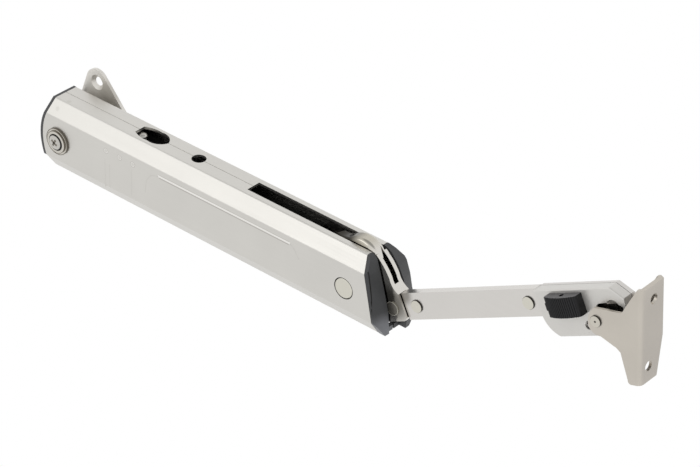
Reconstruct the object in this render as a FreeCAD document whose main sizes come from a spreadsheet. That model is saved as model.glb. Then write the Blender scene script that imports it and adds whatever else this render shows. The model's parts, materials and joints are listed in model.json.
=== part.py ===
"""Lid stay with a folding arm: a spring case that swings on a wall bracket, an arm
with a locking body at its end, and a bracket that carries the lid.

Frame: origin where the case's pivot axis meets the wall face of the base bracket.
+X runs along the case to the arm, +Z is up, the object lies on the -Y side of the wall.
All sizes are in millimetres and degrees.
"""
import FreeCAD, Part
import math
import os

Vector = FreeCAD.Vector
Rotation = FreeCAD.Rotation

SIZES = {
    # case
    "left_overhang": 6.8,          # pivot axis to the top left corner of the case
    "pivot_to_pin": 212.7,         # pivot axis to the arm's axis
    "right_overhang": 10.5,        # arm axis to the top right corner
    "case_up": 23.5,               # pivot axis to the top face
    "case_down": 21.5,             # pivot axis to the bottom face
    "half_width": 13.74,
    "half_top": 8.1,               # half width of the flat top and bottom
    "facet_depth": 8.53,
    "shell_wall": 1.5,
    "fold_radius": 1.2,
    "seam_gap": 0.3,               # joint between the two halves of the case
    "left_bulge": 5.4,             # how far the left end bows out at mid height
    "left_step": 2.0,              # how far the facets' lower corner lies to the left
    "right_slant": 9.2,            # lean of the right end between the facets
    "right_corner": 2.9,           # lean of the right end over a facet
    "slot_half": 4.72,
    "slot_length": 87.2,           # slot in the top, from the top right corner
    "floor_slot": 46.0,            # slot in the bottom, from the bottom right corner
    "oval_at": 61.2,
    "oval_half_length": 11.9,
    "oval_half_width": 5.9,
    "oval_flat": 10.0,             # oval centre to its cut-off left end
    "round_hole_at": 96.0,
    "round_hole_radius": 4.17,
    # pivot
    "bush_radius": 6.0,
    "running_clearance": 0.05,
    "collar_radius": 8.16,
    "collar_step_radius": 6.9,
    "collar_bore": 5.2,
    "collar_height": 1.1,
    "collar_step_height": 1.9,
    "pivot_head_radius": 4.5,
    "pivot_head_height": 3.0,
    "pivot_shank_radius": 2.5,
    "recess_depth": 1.6,
    "recess_half": 0.62,           # half width of the cross recess's slots
    "spacer_radius": 8.0,
    # base bracket
    "bracket_sheet": 2.0,
    "bracket_gap": 1.46,
    "tab_reach": 35.2,
    "tab_hole_x": 2.7,
    "tab_hole_up": 27.2,
    "screw_hole_radius": 2.65,
    "countersink_radius": 4.6,
    "rivet_end_radius": 4.2,
    # end caps
    "left_cap_sheet": 1.9,
    "cap_lip": 5.0,                # reach of the left cap's two lips into the case
    "upper_lip": 9.5,              # lower face of the upper lip
    "lower_lip": 9.5,              # upper face of the lower lip, below the axis
    "lip_height": 3.2,
    "cap_clearance": 0.15,
    "cap_gap": 0.35,               # dark joint between the case and a right cap
    "cap_plug": 3.0,
    "cap_floor": 3.0,              # floor of the right caps under the arm
    "cap_floor_gap": 0.5,          # half the joint between the two floors
    "rear_cap_swell": 6.6,         # how far the rear cap stands out beyond the front one
    # main pin and arm
    "pin_radius": 6.0,
    "pin_ring_radius": 6.4,
    "arm_half": 4.1,
    "arm_gap_half": 1.65,
    "tread": 2.4,
    "tread_fold": 2.3,             # outer radius where the tread folds into the cheeks
    "arm_reach": 28.2,             # pin axis to the top of the tread
    "hub_radius": 12.6,
    "hub_spacer_wall": 2.2,
    "cam_width": 3.6,
    "cam_top": 19.0,
    "cam_base": 7.6,
    "arm_travel": 135.0,
    "follower_radius": 3.0,
    "follower_clearance": 0.05,
    # slider, spring, channel
    "fork_gap_half": 4.3,
    "fork_length": 19.0,
    "slider_root": 6.0,
    "slider_half_height": 10.5,
    "channel_wall": 1.3,
    "channel_half_height": 12.4,
    "channel_left": 60.0,
    "channel_right": 178.0,
    "seat_left": 36.0,
    "seat_screw_x": 52.0,
    "seat_screw_radius": 3.1,
    "seat_screw_head": 3.0,
    "seat_height": 14.4,
    "spring_radius": 9.0,
    "spring_wire": 2.4,
    "spring_turns": 9.0,
    "rod_radius": 3.0,
    # arm tip and link
    "tip_x": 25.8,                 # arm axis to the tip rivet
    "tip_z": -5.2,
    "link_angle": 27.2,
    "link_half_height": 7.6,
    "link_half": 2.5,
    "link_sheet": 1.3,
    "link_start": 8.2,
    "link_to_lock": 0.1,           # gap between the link's channel and the lock body
    "bar_half": 1.15,
    "bar_past_hinge": 8.0,
    "tip_rivet_radius": 4.1,
    "tip_rivet_shank": 3.0,
    "link_rivet_radius": 3.6,
    "link_rivet_shank": 2.6,
    "link_rivet_first": 16.5,
    "link_rivet_inset": 7.6,       # second rivet, from the end of the channel
    "rivet_head": 0.5,
    # lock body
    "lock_half": 4.8,
    "lock_sheet": 1.5,
    "lock_length": 56.2,
    "lock_past_hinge": 16.8,
    "lock_top": 7.5,
    "lock_bottom": -17.7,
    "lock_seam": 1.5,
    "lock_seam_gap": 0.25,
    "lock_fold": 0.8,
    "latch_sheet": 1.4,
    "nose_radius": 4.15,           # round end of the window over the latch nose
    "nose_past_hinge": 8.6,
    "nose_w": -3.1,
    "stud_radius": 2.0,
    "stud_w": 2.2,
    "spacer_pin_radius": 1.6,
    "spacer_lower_in": 6.0,        # lower spacer pin, from the lock body's left end
    "spacer_lower_w": -3.5,
    "spacer_upper_in": 24.0,
    "spacer_upper_w": -10.6,
    "view_hole_radius": 2.4,
    "view_hole_back": 10.3,        # from the hinge axis back to the hole behind the ear
    "view_hole_w": -12.1,
    # button
    "button_length": 21.0,
    "button_stem_inset": 3.0,
    "button_nub": 3.5,
    "button_to_hinge": 8.5,
    "button_low": -5.2,
    "button_high": 5.7,
    "button_face": 9.6,            # front face at the button's edges, from mid plane
    "button_crown": 1.9,
    "button_travel": 3.0,
    "button_gap": 0.1,
    "rib_pitch": 1.25,
    "rib_depth": 0.45,
    # lid bracket
    "hinge_u": 142.0,
    "hinge_w": -7.6,
    "hinge_pin_radius": 3.0,
    "pin_head_out": 0.5,
    "collar_wall": 1.6,
    "lid_tilt": 5.6,
    "lid_half": 10.0,
    "rear_ear": 8.0,               # outer face of the short rear ear
    "rear_ear_low": 6.0,           # how far the rear ear reaches below the hinge axis
    "plate_low_edge": 3.4,         # rear edge of the plate at its bottom end
    "lid_sheet": 1.6,
    "bend_radius": 2.6,
    "plate_at": 26.7,              # hinge axis to the plate's outer face
    "plate_top": 25.5,
    "plate_bottom": 27.5,
    "plate_hole_up": 17.6,
    "plate_hole_down": 18.75,
    "plate_hole_shift": -3.6,      # the lower hole lies nearer the front ear
    "plate_hole_radius": 2.75,
    "ear_radius": 8.2,
}

doc = FreeCAD.newDocument("LidStay")
sheet = doc.addObject("Spreadsheet::Sheet", "Sizes")
for row, (alias, value) in enumerate(SIZES.items(), start=1):
    sheet.set("A%d" % row, alias)
    sheet.set("B%d" % row, str(value))
    sheet.setAlias("B%d" % row, alias)
doc.recompute()


def size(alias):
    return float(sheet.get(alias))


MID = size("half_width") + size("bracket_gap") + size("bracket_sheet")
MID_EXPR = "-(Sizes.half_width + Sizes.bracket_gap + Sizes.bracket_sheet)"
TOP = size("case_up")
BOTTOM = -size("case_down")
LEFT = -size("left_overhang")
RIGHT = size("pivot_to_pin") + size("right_overhang")
WALL = size("shell_wall")
PIN_X = size("pivot_to_pin")
LOCK_RIGHT = size("hinge_u") + size("lock_past_hinge")
LOCK_LEFT = LOCK_RIGHT - size("lock_length")
BUTTON_RIGHT = size("hinge_u") - size("button_to_hinge")
BUTTON_LEFT = BUTTON_RIGHT - size("button_length")
FAR = 2.0 * size("pivot_to_pin")   # a reach beyond every piece, for cuts
parts = []


# Sketches and features

def start_body(label):
    body = doc.addObject("PartDesign::Body", label)
    body.Label = label
    parts.append(body)
    return body


def place(body, x="0", z="0", tilt=None):
    """Put a body's own origin at x, z on the mid plane, tilted about the cross axis."""
    if tilt:
        body.Placement = FreeCAD.Placement(Vector(), Rotation(Vector(0, -1, 0), size("link_angle")))
        body.setExpression("Placement.Rotation.Angle", tilt)
    body.setExpression("Placement.Base.x", x)
    body.setExpression("Placement.Base.y", MID_EXPR)
    body.setExpression("Placement.Base.z", z)


def sketch_on(body, role, offset=0.0):
    plane = next(item for item in body.Origin.OriginFeatures if item.Role == role)
    sketch = body.newObject("Sketcher::SketchObject", body.Label + "_sketch")
    sketch.AttachmentSupport = [(plane, "")]
    sketch.MapMode = "FlatFace"
    sketch.AttachmentOffset = FreeCAD.Placement(Vector(0, 0, offset), Rotation())
    return sketch


def draw(sketch, start, steps):
    """Closed outline: a step of two numbers is a line, one of four an arc through the
    first point to the second."""
    here = Vector(start[0], start[1], 0)
    first = here
    for step in steps:
        there = Vector(step[-2], step[-1], 0)
        if len(step) == 4:
            sketch.addGeometry(Part.Arc(here, Vector(step[0], step[1], 0), there))
        else:
            sketch.addGeometry(Part.LineSegment(here, there))
        here = there
    if here.distanceToPoint(first) > 1e-6:
        sketch.addGeometry(Part.LineSegment(here, first))


def draw_circle(sketch, x, y, radius):
    sketch.addGeometry(Part.Circle(Vector(x, y, 0), Vector(0, 0, 1), radius))


def feature(body, kind, sketch, **settings):
    """Add one feature and make sure that it changed the solid."""
    before = 0.0
    if body.Tip is not None:
        before = body.Shape.Volume
    item = body.newObject(kind, body.Label + "_feature")
    item.Profile = sketch
    for name, value in settings.items():
        if isinstance(value, str) and name in ("Length", "Angle"):
            item.setExpression(name, value)
        else:
            setattr(item, name, value)
    body.Tip = item
    doc.recompute()
    change = body.Shape.Volume - before
    assert "Invalid" not in item.State, "no feature on " + body.Label
    if kind.endswith(("Pocket", "Groove")):
        assert change < -1e-3, "no cut in " + body.Label
    else:
        assert change > 1e-3, "no material in " + body.Label
    return item


def pad_side(body, front, back, start, steps, holes=()):
    """Pad an outline drawn in the X-Z plane from y=front to y=back."""
    sketch = sketch_on(body, "XZ_Plane", -back)
    draw(sketch, start, steps)
    for x, z, radius in holes:
        draw_circle(sketch, x, z, radius)
    return feature(body, "PartDesign::Pad", sketch, Length=back - front)


def cut_side(body, start, steps, back=None, length=None):
    """Cut an X-Z outline through everything, or towards -Y from y=back."""
    sketch = sketch_on(body, "XZ_Plane", -(back or 0.0))
    draw(sketch, start, steps)
    if back is None:
        return feature(body, "PartDesign::Pocket", sketch, Type="ThroughAll", SideType="Symmetric")
    return feature(body, "PartDesign::Pocket", sketch, Length=length, Reversed=True)


def drill_side(body, holes, back=None, length=None):
    sketch = sketch_on(body, "XZ_Plane", -(back or 0.0))
    for x, z, radius in holes:
        draw_circle(sketch, x, z, radius)
    if back is None:
        return feature(body, "PartDesign::Pocket", sketch, Type="ThroughAll", SideType="Symmetric")
    return feature(body, "PartDesign::Pocket", sketch, Length=length, Reversed=True)


def cut_plan(body, bottom, height, start, steps):
    """Cut an X-Y outline upwards from z=bottom."""
    sketch = sketch_on(body, "XY_Plane", bottom)
    draw(sketch, start, steps)
    return feature(body, "PartDesign::Pocket", sketch, Length=height, Reversed=True)


def turned(label, start, steps, x="0", z="0", tilt=None):
    """Revolve an outline of (radius, y) points about the cross axis."""
    body = start_body(label)
    sketch = sketch_on(body, "XY_Plane")
    draw(sketch, start, steps)
    feature(body, "PartDesign::Revolution", sketch, ReferenceAxis=(sketch, ["V_Axis"]), Angle=360.0)
    place(body, x, z, tilt)
    return body


def dome(radius, height, base):
    """Arc from the rim (radius, base) to the axis, as its middle point and end."""
    sphere = (radius * radius + height * height) / (2.0 * height)
    half = math.asin(radius / sphere) / 2.0
    return (sphere * math.sin(half), base + height - sphere * (1.0 - math.cos(half)), 0.0, base + height)


def pin(label, radius, front, back, x, z, tilt=None, edge=0.3):
    """A plain round pin with a small chamfer at both ends."""
    return turned(label, (0, front), [(radius - edge, front), (radius, front + edge),
                                      (radius, back - edge), (radius - edge, back), (0, back)],
                  x, z, tilt)


def ring(label, bore, radius, front, back, x, z, tilt=None):
    return turned(label, (bore, front), [(radius, front), (radius, back), (bore, back)], x, z, tilt)


def round_edges(body, radius, wanted):
    """Fillet the edges that the test picks by their middle point."""
    names = []
    for index, edge in enumerate(body.Shape.Edges, start=1):
        middle = edge.valueAt((edge.FirstParameter + edge.LastParameter) / 2.0)
        if wanted(body.Placement.inverse().multVec(middle), edge):
            names.append("Edge%d" % index)
    assert names, "no edge to round on " + body.Label
    base = body.Tip
    item = body.newObject("PartDesign::Fillet", body.Label + "_fillet")
    item.Base = (base, names)
    item.Radius = radius
    body.Tip = item
    doc.recompute()
    assert "Invalid" not in item.State, "no fillet on %s: %s" % (body.Label, names)
    return item


# Case shells

def section(inset=0.0):
    """Half section of the case as (y, z) points, from the top seam to the bottom seam.
    The sides are moved inwards by inset."""
    depth = size("facet_depth")
    side = size("half_width") - inset
    run = size("half_width") - size("half_top")
    slope = math.hypot(run, depth)
    # where the moved facet line meets the moved top and side lines
    flat = size("half_top") + inset * (run - slope) / depth
    lift = inset * (depth - slope) / run
    seam = size("seam_gap") / 2.0
    return [(seam, TOP - inset), (flat, TOP - inset), (side, TOP - depth + lift),
            (side, BOTTOM + depth - lift), (flat, BOTTOM + inset), (seam, BOTTOM + inset)]


def left_arc(shift=0.0):
    """Side view of the left end: top corner, upper facet corner, apex, lower facet
    corner and bottom corner, moved out by shift."""
    upper = TOP - size("facet_depth")
    lower = BOTTOM + size("facet_depth")
    return [(LEFT - shift, TOP), (LEFT - size("left_step") - shift, upper),
            (LEFT - size("left_bulge") - shift, (upper + lower) / 2.0),
            (LEFT - size("left_step") - 1.0 - shift, lower), (LEFT - 1.1 - shift, BOTTOM)]


def right_line(shift=0.0):
    """Side view of the right end from the top corner to the bottom corner."""
    upper = RIGHT + size("right_corner")
    lower = RIGHT + size("right_slant")
    return [(RIGHT + shift, TOP), (upper + shift, TOP - size("facet_depth")),
            (lower + shift, BOTTOM + size("facet_depth")), (lower + 0.6 + shift, BOTTOM)]


def shell(label, sign):
    """One folded half of the case, open along its slot."""
    body = start_body(label)
    outer = [(sign * y, z) for y, z in section()]
    inner = [(sign * y, z) for y, z in section(WALL)]
    sketch = sketch_on(body, "YZ_Plane", LEFT - 20.0)
    draw(sketch, outer[0], outer[1:] + inner[::-1])
    feature(body, "PartDesign::Pad", sketch, Length=RIGHT - LEFT + 60.0)

    def is_fold(point, edge):
        lengthwise = abs(edge.BoundBox.XLength) > 100.0
        on_corner = any(math.hypot(point.y - y, point.z - z) < 0.01 for y, z in outer[1:5])
        return lengthwise and on_corner

    round_edges(body, size("fold_radius"), is_fold)
    top_left, upper, apex, lower, low_left = left_arc()
    cut_side(body, (-60, TOP + 5), [(top_left[0], TOP + 5), top_left, upper, apex + lower, low_left,
                                    (low_left[0], BOTTOM - 5), (-60, BOTTOM - 5)])
    ends = right_line()
    cut_side(body, (FAR, TOP + 5), [(ends[0][0], TOP + 5)] + ends + [(ends[-1][0], BOTTOM - 5),
                                                                  (FAR, BOTTOM - 5)])
    cut_openings(body, sign)
    place(body)


def cut_openings(body, sign):
    """Slots at the right, the oval and the round hole on the seam, pin and bush holes."""
    slot = size("slot_half")
    slot_end = RIGHT - size("slot_length")
    edge = sign * slot
    cut_plan(body, 0.0, TOP + 5, (slot_end, -sign), [(FAR, -sign), (FAR, edge), (slot_end, edge)])
    floor_end = right_line()[-1][0] - size("floor_slot")
    cut_plan(body, BOTTOM - 5, 5 - BOTTOM, (floor_end, -sign), [(FAR, -sign), (FAR, edge), (floor_end, edge)])
    centre = size("oval_at")
    half = size("oval_half_length")
    wide = size("oval_half_width")
    flat = centre - size("oval_flat")
    flat_y = wide * 0.62
    cut_plan(body, 0.0, TOP + 5, (flat, -flat_y),
             [(centre - 4.0, -wide * 0.97, centre + 1.5, -wide), (centre + half * 0.8, -wide * 0.62,
               centre + half, 0.0), (centre + half * 0.8, wide * 0.62, centre + 1.5, wide),
              (centre - 4.0, wide * 0.97, flat, flat_y)])
    sketch = sketch_on(body, "XY_Plane", 0.0)
    draw_circle(sketch, size("round_hole_at"), 0.0, size("round_hole_radius"))
    feature(body, "PartDesign::Pocket", sketch, Length=TOP + 5, Reversed=True)
    clearance = size("running_clearance")
    drill_side(body, [(0.0, 0.0, size("bush_radius") + clearance),
                      (PIN_X, 0.0, size("pin_ring_radius"))])


# Base bracket and pivot

def base_bracket():
    body = start_body("base_bracket")
    reach = size("tab_reach")
    hole_x = size("tab_hole_x")
    front = size("half_width") + size("bracket_gap")
    back = MID
    shoulder = reach - 3.3
    upper = [(-9.4, 17.8), (-4.8, reach - 4.5), (hole_x - 1.5, reach, hole_x + 6.3, shoulder), (26.1, 13.2)]
    lower = [(hole_x + 6.3, -shoulder), (hole_x - 1.5, -reach, -4.8, 4.5 - reach), (-9.4, -17.8)]
    steps = upper + [(30.0, 0.0, 26.1, -13.2)] + lower + [(-12.0, 0.0, -9.4, 17.8)]
    holes = [(hole_x, sign * size("tab_hole_up"), size("screw_hole_radius")) for sign in (1, -1)]
    pad_side(body, front, back, steps[0], steps[1:], holes + [(0.0, 0.0, size("rivet_end_radius"))])
    for sign in (1, -1):
        sketch = sketch_on(body, "YZ_Plane", hole_x)
        depth = size("countersink_radius") - size("screw_hole_radius")
        axis_z = sign * size("tab_hole_up")
        draw(sketch, (front, axis_z), [(front, axis_z + size("countersink_radius")),
                                       (front + depth, axis_z + size("screw_hole_radius")),
                                       (front + depth, axis_z)])
        line = Part.LineSegment(Vector(front, axis_z, 0), Vector(front + depth, axis_z, 0))
        index = sketch.addGeometry(line, True)
        sketch.solve()
        axis_number = sum(1 for i in range(index + 1) if sketch.getConstruction(i)) - 1
        feature(body, "PartDesign::Groove", sketch, ReferenceAxis=(sketch, ["Axis%d" % axis_number]),
                Angle=360.0)
    place(body)


def pivot_parts():
    """Stepped bush riveted into the bracket, its collar, the screw and the spacers."""
    front = -size("half_width")
    rest = size("half_width") + size("bracket_gap")
    bush = size("bush_radius")
    bore = size("pivot_shank_radius")
    turned("pivot_bush", (bore, front - 0.1), [(bush, front - 0.1), (bush, rest),
           (size("rivet_end_radius"), rest), (size("rivet_end_radius"), MID), (0, MID),
           (0, rest - 4.0), (bore, rest - 5.5)])
    collar = size("collar_radius")
    step = size("collar_step_radius")
    low = front - 0.1
    mid = low - size("collar_height")
    high = low - size("collar_step_height")
    turned("pivot_collar", (size("collar_bore"), high),
           [(step - 0.3, high), (step, high + 0.3), (step, mid), (collar - 0.4, mid),
            (collar, mid + 0.4), (collar, low), (size("pivot_shank_radius") + 0.2, low),
            (size("pivot_shank_radius") + 0.2, mid + 0.3), (size("collar_bore"), mid + 0.3)])
    head = size("pivot_head_radius")
    crown = front - size("pivot_head_height")
    seat = mid + 0.3
    rim = crown + 1.5
    arch = dome(head, -1.5, rim)
    screw = turned("pivot_screw", (0, crown), [(arch[0], arch[1], head, rim), (head, seat),
                                               (bore - 0.05, seat), (bore - 0.05, 6.0), (0, 6.5)])
    slit = size("recess_half")
    reach = head * 0.55
    depth = size("recess_depth")
    sketch = sketch_on(screw, "XZ_Plane", -(crown + depth))
    draw(sketch, (-reach, -slit), [(-slit, -slit), (-slit, -reach), (slit, -reach), (slit, -slit),
                                   (reach, -slit), (reach, slit), (slit, slit), (slit, reach),
                                   (-slit, reach), (-slit, slit), (-reach, slit)])
    feature(screw, "PartDesign::Pocket", sketch, Length=depth + 1.0, Reversed=True)
    ring("rear_washer", bush + 0.1, size("collar_radius") + 1.0, size("half_width") + 0.05, rest, "0", "0")
    inner = size("half_width") - WALL
    ring("pivot_spacer", bush + size("running_clearance"), size("spacer_radius"), -inner, inner, "0", "0")


# End caps

def trim_to_section(body, signs, left, right):
    """Cut away what stands outside the case's section between left and right."""
    for sign in signs:
        points = [(sign * y, z) for y, z in section()]
        sketch = sketch_on(body, "YZ_Plane", left)
        reach = sign * 40.0
        draw(sketch, (points[0][0], TOP + 20), points +
             [(points[-1][0], BOTTOM - 20), (reach, BOTTOM - 20), (reach, TOP + 20)])
        feature(body, "PartDesign::Pocket", sketch, Length=right - left, Reversed=True)


def left_cap():
    body = start_body("left_end_cap")
    side = size("half_width")
    near = left_arc(0.02)
    far = left_arc(size("left_cap_sheet"))
    pad_side(body, -side, side, near[0], [near[1], near[2] + near[3], far[3],
                                          far[2] + far[1], far[0]])
    trim_to_section(body, (1, -1), LEFT - 50.0, PIN_X / 2.0)
    root = LEFT - size("left_step") - size("left_cap_sheet") - 0.4
    tip = LEFT + size("cap_lip")
    inner = side - WALL - size("cap_clearance")
    upper = size("upper_lip")
    lower = -size("lower_lip")
    for low, high in ((upper, upper + size("lip_height")), (lower - size("lip_height"), lower)):
        pad_side(body, -inner, inner, (root, low), [(tip, low), (tip, high), (root, high)])
    place(body)


def cap_outline(stand_offs, swell):
    """Side outline of a right cap half. The stand-offs from the end of the case run from
    the top to the bottom, and swell widens the middle ones."""
    gap = size("cap_gap")
    end = right_line(gap)
    upper, lower = end[1], end[2]
    slant = (lower[0] - upper[0]) / (upper[1] - lower[1])
    top = TOP - 0.1
    heights = [top, TOP - 2.0, upper[1], upper[1] - 6.9, 0.0, lower[1] + 4.5, BOTTOM]
    shares = [0.0, 0.25, 0.75, 0.95, 1.0, 0.95, 0.45]
    front = []
    for height, stand_off, share in zip(heights, stand_offs, shares):
        if height > upper[1]:
            base = upper[0] - (height - upper[1]) * size("right_corner") / size("facet_depth")
        else:
            base = upper[0] + (upper[1] - height) * slant
        front.append((base - gap + stand_off + swell * share, height))
    return [(end[0][0], top), upper, lower, end[3]] + front[::-1]


def right_cap(label, sign, swell):
    """Half of the right end cap: a bevelled moulding beside the arm's slot, with a floor
    that reaches under the arm."""
    body = start_body(label)
    side = size("half_width")
    slot = size("slot_half") + size("cap_clearance")
    levels = [(slot, (1.5, 3.4, 3.3, 4.0, 4.6, 5.0, 3.4), swell),
              (side - 1.24, (1.0, 2.0, 2.2, 2.0, 1.7, 2.2, 3.1), swell),
              (side, (0.5, 0.7, 0.7, 0.7, 0.7, 0.9, 2.4), swell * 0.92)]
    sketches = []
    for across, stand_offs, extra in levels:
        sketch = sketch_on(body, "XZ_Plane", -sign * across)
        points = cap_outline(stand_offs, extra)
        draw(sketch, points[0], points[1:])
        sketches.append(sketch)
    loft = body.newObject("PartDesign::AdditiveLoft", label + "_loft")
    loft.Profile = sketches[0]
    loft.Sections = sketches[1:]
    loft.Ruled = True
    body.Tip = loft
    doc.recompute()
    assert body.Shape.Volume > 100.0, "no loft in " + label
    trim_to_section(body, (sign,), RIGHT - 10.0, FAR)
    plug = size("cap_plug")
    inner = side - WALL - size("cap_clearance")
    end = right_line()
    upper, lower = end[1], end[2]
    overlap = size("cap_gap") + 0.4
    faces = sorted((sign * slot, sign * inner))
    pad_side(body, faces[0], faces[1], (upper[0] - plug, upper[1] - 2.0),
             [(upper[0] + overlap, upper[1] - 2.0), (lower[0] + overlap, lower[1] + 2.0),
              (lower[0] - plug, lower[1] + 2.0)])
    floor = end[3][0] + size("cap_gap")
    ledge = size("cap_floor")
    faces = sorted((sign * size("cap_floor_gap"), sign * (slot + 0.5)))
    pad_side(body, faces[0], faces[1], (floor, BOTTOM), [(floor + ledge, BOTTOM),
             (floor + ledge, BOTTOM + ledge), (floor, BOTTOM + ledge)])
    place(body)


# Arm, cams and main pin

def tangent_arc(start, joint, centre):
    """Middle point of the arc that comes from start and meets, at the joint, an arc
    round the given centre without a corner."""
    radius = math.dist(joint, centre)
    normal = ((joint[0] - centre[0]) / radius, (joint[1] - centre[1]) / radius)
    chord = (joint[0] - start[0], joint[1] - start[1])
    lean = normal[0] * chord[0] + normal[1] * chord[1]
    turn = -(chord[0] ** 2 + chord[1] ** 2) / (2.0 * lean)
    own = (joint[0] + normal[0] * turn, joint[1] + normal[1] * turn)
    half = ((start[0] + joint[0]) / 2.0 - own[0], (start[1] + joint[1]) / 2.0 - own[1])
    length = math.hypot(half[0], half[1])
    return (own[0] + half[0] * turn / length, own[1] + half[1] * turn / length)


def arm():
    """Two cheeks folded from one sheet, joined by a tread over the hub and a web at
    the tip, drawn about the pin. Points are shares of the arm's reach over the pin."""
    body = start_body("arm")
    half = size("arm_half")
    hub = size("hub_radius")
    reach = size("arm_reach")
    tread = size("tread")
    tip = (size("tip_x"), size("tip_z"))
    angle = math.radians(size("link_angle"))

    def on_link(u, w):
        return (tip[0] + u * math.cos(angle) - w * math.sin(angle),
                tip[1] + u * math.sin(angle) + w * math.cos(angle))

    def at(x, z):
        return (x * reach, z * reach)

    high = size("link_half_height")
    stop = size("link_start") - 0.6
    top_end = on_link(stop, high)
    low_end = on_link(stop, -high + 1.9)
    round_via = on_link(stop - 0.7, -high + 0.6)
    round_end = on_link(stop - 2.4, -high)
    heel = on_link(-4.2, -high)
    left = at(-0.588, 0.810)
    joint = at(-0.190, 0.880)
    crown = at(0.130, 0.972)
    fall = at(0.470, 0.798)
    centre = Part.Arc(Vector(joint[0], joint[1], 0), Vector(crown[0], crown[1], 0),
                      Vector(fall[0], fall[1], 0)).toShape().Curve.Center
    run_up = tangent_arc(left, joint, (centre.x, centre.y))
    shoulder = at(-0.553, 0.496)
    pad_side(body, -half, half, left, [run_up + joint, crown + fall, (fall[0], shoulder[1]), shoulder])

    def is_fold(point, edge):
        on_face = abs(abs(point.y) - half) < 1e-4
        return on_face and point.z > left[1] - 0.1 and abs(edge.BoundBox.XLength) > 1.0

    round_edges(body, size("tread_fold"), is_fold)
    pad_side(body, -half, half, fall,
             [at(0.672, 0.604) + at(0.805, 0.418), at(0.876, 0.290) + top_end, low_end,
              round_via + round_end, heel, at(0.532, -0.588) + (hub * 0.333, -hub * 0.943),
              (-hub * 0.707, -hub * 0.707, -hub, 1.0), shoulder])
    drill_side(body, [(0.0, 0.0, size("pin_radius") + size("running_clearance")),
                      (tip[0], tip[1], size("tip_rivet_shank"))])
    gap = size("arm_gap_half")
    under = (joint[0], joint[1] - tread)
    open_from = at(0.570, 0.745)
    sketch = sketch_on(body, "XZ_Plane", -gap)
    draw(sketch, (left[0] - reach, left[1] - tread),
         [(left[0], left[1] - tread), under,
          (crown[0], crown[1] - tread, open_from[0] - tread, open_from[1] - tread), open_from,
          (reach, open_from[1]), (reach, 0.48 * reach), at(0.872, 0.298),
          at(0.918, 0.128), at(1.117, 0.163), (2.0 * reach, 0.0), (2.0 * reach, -reach),
          (left[0] - reach, -reach)])
    feature(body, "PartDesign::Pocket", sketch, Length=2 * gap, Reversed=True)
    begin = at(0.390, 0.0)[0]
    cut_plan(body, 0.5 * reach, reach, (begin, gap), [(open_from[0] + 0.5, gap), (open_from[0] + 0.5, -gap)])
    cut_plan(body, 0.0, 2.0 * reach, (left[0] - 1.0, half + 1.0),
             [(left[0] - 1.0, -half - 1.0), (left[0], -half - 1.0), (left[0] + 0.9 * half, half + 1.0)])
    place(body, "Sizes.pivot_to_pin")


def cam_wire(y):
    """Cam outline: an offset of a spiral that moves the follower in step with the arm,
    closed round the hub. y is its plane."""
    rise = (size("cam_top") - size("cam_base")) / math.radians(size("arm_travel"))
    nose = size("follower_radius") + size("follower_clearance")
    begin = math.pi - math.radians(size("arm_travel")) - 0.12
    finish = math.pi + 0.10
    count = 16
    track = []
    for index in range(count + 1):
        angle = begin + (finish - begin) * index / count
        pitch = size("cam_top") + size("follower_radius") - rise * (math.pi - angle)
        length = math.hypot(pitch, rise)
        radial = pitch - nose * pitch / length
        across = nose * rise / length
        x = radial * math.cos(angle) - across * math.sin(angle)
        z = radial * math.sin(angle) + across * math.cos(angle)
        track.append(Vector(x, y, z))
    edges = []
    for index in range(0, count, 2):
        edges.append(Part.Arc(track[index], track[index + 1], track[index + 2]).toShape())
    start, end = track[0], track[-1]
    hub = size("cam_base") + 0.8
    low = Vector(-hub * 0.55, y, -hub * 0.835)
    heel = Part.Arc(end, Vector(end.x + hub * 0.71, y, end.z - hub * 0.44), low)
    back = Part.Arc(low, Vector(hub * 0.85, y, -hub * 0.527), start)
    return Part.Wire(edges + [heel.toShape(), back.toShape()])


def cam(label, front):
    """Cams are cut from plate and welded beside the arm's cheeks."""
    outline = Part.Face(cam_wire(front))
    solid = outline.extrude(Vector(0, size("cam_width"), 0))
    bore = Part.makeCylinder(size("pin_radius") + size("running_clearance"), size("cam_width") + 2.0,
                             Vector(0, front - 1.0, 0), Vector(0, 1, 0))
    item = doc.addObject("Part::Feature", label)
    item.Label = label
    item.Shape = solid.cut(bore)
    item.Placement = FreeCAD.Placement(Vector(PIN_X, -MID, 0), Rotation())
    parts.append(item)


def main_pin_parts():
    face = size("half_width")
    x = "Sizes.pivot_to_pin"
    pin("main_pin", size("pin_radius"), -face - 0.15, face + 0.15, x, "0", edge=0.4)
    for label, front in (("pin_ring_front", -face), ("pin_ring_rear", face - WALL)):
        ring(label, size("pin_radius") + 0.02, size("pin_ring_radius"), front, front + WALL, x, "0")
    inner = face - WALL
    cam_face = size("arm_half") + size("cam_width")
    for label, front, back in (("hub_spacer_front", -inner, -cam_face - 0.1),
                               ("hub_spacer_rear", cam_face + 0.1, inner)):
        ring(label, size("pin_radius") + 0.1, size("pin_radius") + size("hub_spacer_wall"), front, back,
             x, "0")


# Slider, spring and channel

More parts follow.
